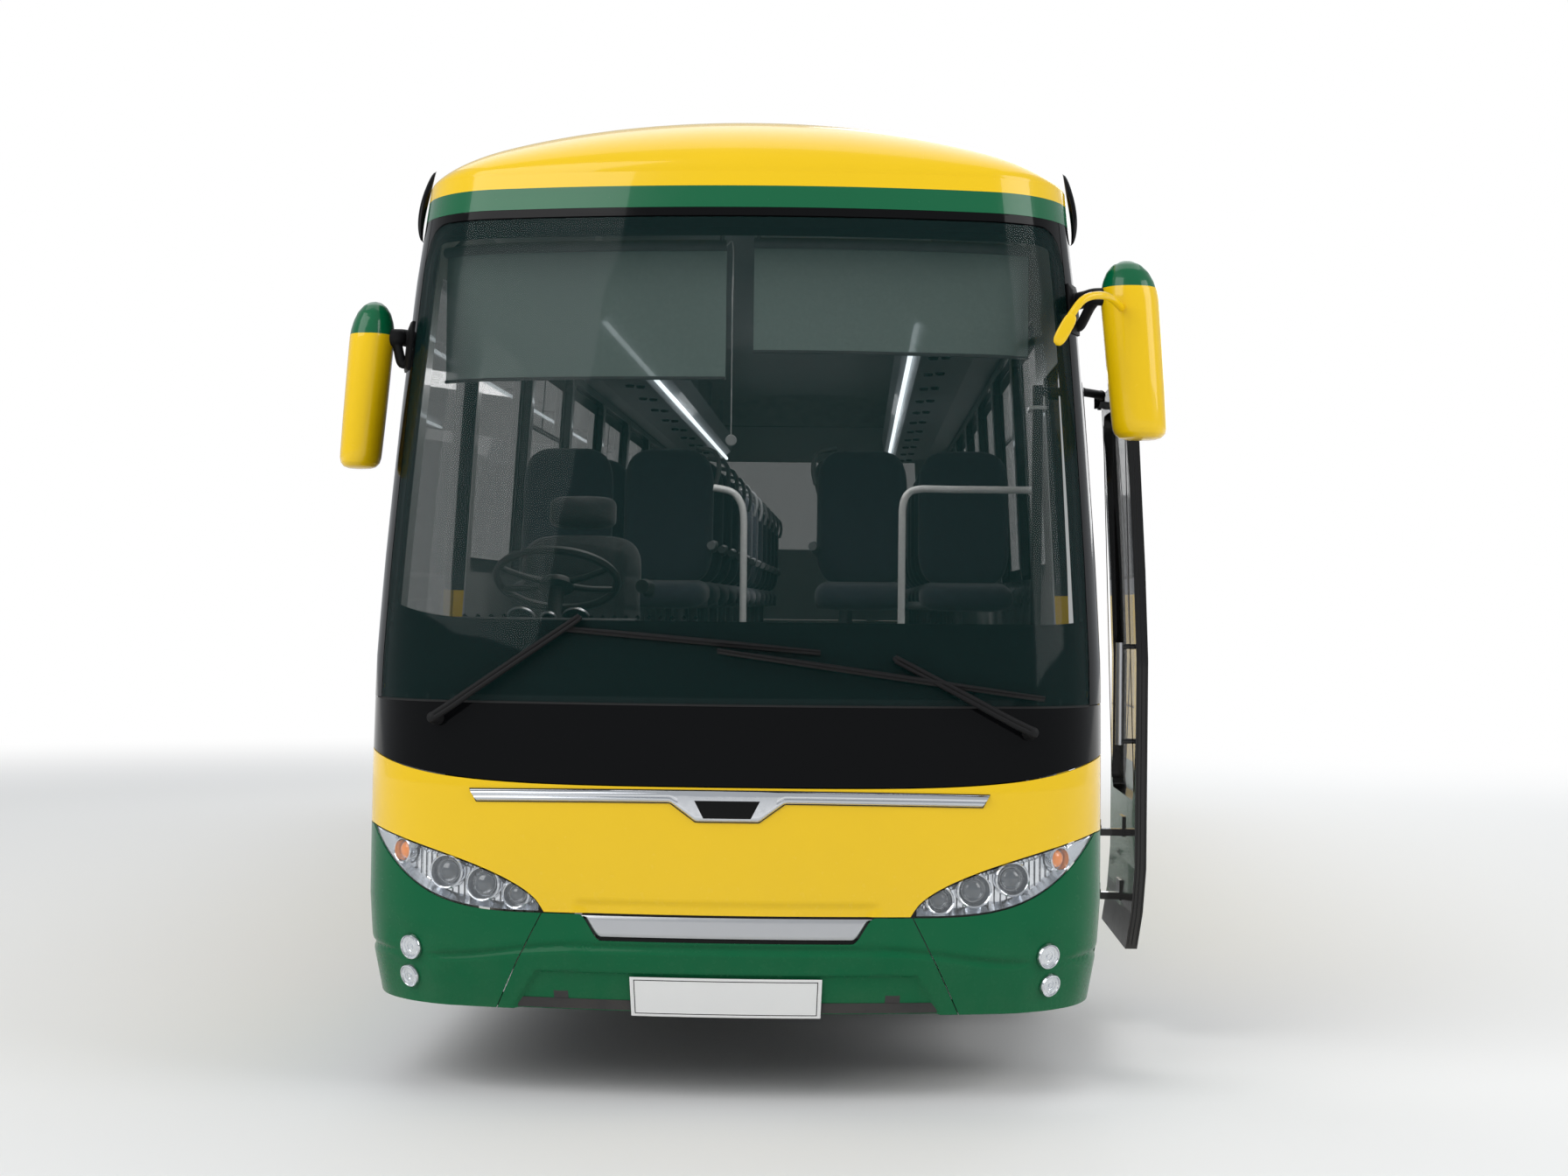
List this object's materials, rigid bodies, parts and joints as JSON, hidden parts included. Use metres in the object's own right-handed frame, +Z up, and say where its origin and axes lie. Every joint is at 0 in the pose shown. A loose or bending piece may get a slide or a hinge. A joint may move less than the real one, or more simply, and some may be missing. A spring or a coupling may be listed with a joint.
{
  "type": "airport passenger bus",
  "caption": "High-floor two-axle passenger coach with a raked wrap-round windscreen, swing-out entry door, luggage flaps, rear engine lid and steering front wheels.",
  "frame": {"origin": "on the ground under the middle of the bus", "axes": "+Z up, the front faces -Y, +X is the side with the passenger door"},
  "size_m": [2.9996, 12.0022, 3.61],
  "materials": {
    "chassis_paint": "satin black",
    "floor_ply": "ribbed vinyl",
    "body_paint": "gloss coach enamel, yellow over green",
    "front_paint": "gloss yellow on moulded panels",
    "bumper_paint": "gloss green on moulded panels",
    "gloss_black": "piano black",
    "window_glass": "tinted",
    "lamp_body": "bright reflector",
    "lamp_cover": "clear",
    "bright_trim": "bright",
    "plate_white": "blank reflective plate",
    "black_plastic": "fine grain",
    "mirror_face": "mirror",
    "tail_red": "lens red and amber",
    "door_black": "black frame with green skin",
    "lid_paint": "gloss coach enamel",
    "dash_grain": "soft grain",
    "seat_fabric": "plush",
    "cab_fabric": "plush",
    "rack_plastic": "satin",
    "rail_white": "gloss white",
    "blind_cloth": "mesh",
    "engine_iron": "cast",
    "unit_white": "moulded",
    "wheel_silver": "silver paint",
    "tyre": "rubber",
    "knuckle_iron": "cast"
  },
  "bodies": {
    "shell": {"chassis": "chassis_paint", "luggage_tub": "chassis_paint", "front_frame": "chassis_paint", "floor": "floor_ply", "wall_left": "body_paint", "wall_right": "body_paint", "roof": "body_paint", "roof_cap": "front_paint", "screen_frame": "gloss_black", "windscreen": "window_glass", "mask": "gloss_black", "front_panel": "front_paint", "bumper": "bumper_paint", "headlamps": "lamp_body", "lamp_glass": "lamp_cover", "front_trim": "bright_trim", "plates": "plate_white", "wipers": "black_plastic", "mirrors": "front_paint", "mirror_glass": "mirror_face", "glazing": "window_glass", "rear_wall": "front_paint", "tail_lamps": "tail_red", "dashboard": "dash_grain", "driver_seat": "cab_fabric", "seats": "seat_fabric", "racks": "rack_plastic", "handrails": "rail_white", "blinds": "blind_cloth", "engine": "engine_iron", "roof_unit": "unit_white", "axle_front": "knuckle_iron", "axle_rear": "knuckle_iron"},
    "steer_left": {"knuckle_left": "knuckle_iron"},
    "steer_right": {"knuckle_right": "knuckle_iron"},
    "wheel_fl": {"rim_fl": "wheel_silver", "tyre_fl": "tyre"},
    "wheel_fr": {"rim_fr": "wheel_silver", "tyre_fr": "tyre"},
    "wheel_rl": {"rims_rl": "wheel_silver", "tyres_rl": "tyre"},
    "wheel_rr": {"rims_rr": "wheel_silver", "tyres_rr": "tyre"},
    "door_carrier": {"door_arm": "black_plastic"},
    "door": {"door_leaf": "door_black", "door_glass": "window_glass"},
    "flap_l1": {"bay_door_l1": "lid_paint"},
    "flap_l2": {"bay_door_l2": "lid_paint"},
    "flap_r1": {"bay_door_r1": "lid_paint"},
    "flap_r2": {"bay_door_r2": "lid_paint"},
    "rear_lid": {"engine_lid": "lid_paint"},
    "hand_wheel": {"steering_wheel": "dash_grain"}
  },
  "joints": [
    {"name": "steer_right", "type": "hinge", "parent": "shell", "child": "steer_right", "pos_m": [-0.82, -3.15, 0.522], "axis": [0, 0, 1], "range_deg": [-38, 38]},
    {"name": "steer_left", "type": "hinge", "parent": "shell", "child": "steer_left", "pos_m": [0.82, -3.15, 0.522], "axis": [0, 0, 1], "range_deg": [-38, 38]},
    {"name": "hand_wheel_turn", "type": "hinge", "parent": "shell", "child": "hand_wheel", "pos_m": [-0.7, -5.01, 1.74], "axis": [0, 0.4695, 0.8829], "range_deg": [-762, 762]},
    {"name": "roll_fl", "type": "hinge", "parent": "steer_left", "child": "wheel_fl", "pos_m": [1.03, -3.15, 0.522], "axis": [1, 0, 0], "continuous": true},
    {"name": "roll_fr", "type": "hinge", "parent": "steer_right", "child": "wheel_fr", "pos_m": [-1.03, -3.15, 0.522], "axis": [1, 0, 0], "continuous": true},
    {"name": "roll_rl", "type": "hinge", "parent": "shell", "child": "wheel_rl", "pos_m": [0.915, 2.95, 0.522], "axis": [1, 0, 0], "continuous": true},
    {"name": "roll_rr", "type": "hinge", "parent": "shell", "child": "wheel_rr", "pos_m": [-0.915, 2.95, 0.522], "axis": [1, 0, 0], "continuous": true},
    {"name": "door_swing", "type": "hinge", "parent": "shell", "child": "door_carrier", "pos_m": [1.13, -4.4, 1.3], "axis": [0, 0, 1], "range_deg": [-133.83, 0]},
    {"name": "door_level", "type": "hinge", "parent": "door_carrier", "child": "door", "pos_m": [1.4, -4.15467, 1.3], "axis": [0, 0, 1], "range_deg": [0, 134.03]},
    {"name": "flap_l1_lift", "type": "hinge", "parent": "shell", "child": "flap_l1", "pos_m": [1.268, -1.245, 1.171], "axis": [0, -1, 0], "range_deg": [0, 85]},
    {"name": "flap_l2_lift", "type": "hinge", "parent": "shell", "child": "flap_l2", "pos_m": [1.268, 1.045, 1.171], "axis": [0, -1, 0], "range_deg": [0, 85]},
    {"name": "flap_r1_lift", "type": "hinge", "parent": "shell", "child": "flap_r1", "pos_m": [-1.268, -1.245, 1.171], "axis": [0, 1, 0], "range_deg": [0, 85]},
    {"name": "flap_r2_lift", "type": "hinge", "parent": "shell", "child": "flap_r2", "pos_m": [-1.268, 1.045, 1.171], "axis": [0, 1, 0], "range_deg": [0, 85]},
    {"name": "rear_lid_lift", "type": "hinge", "parent": "shell", "child": "rear_lid", "pos_m": [0, 5.986, 1.5137], "axis": [1, 0, 0], "range_deg": [0, 80]}
  ],
  "couplings": [
    {"joint": "steer_left", "follows": "steer_right", "ratio": 1},
    {"joint": "hand_wheel_turn", "follows": "steer_right", "ratio": 20},
    {"joint": "door_level", "follows": "door_swing", "ratio": -1}
  ]
}
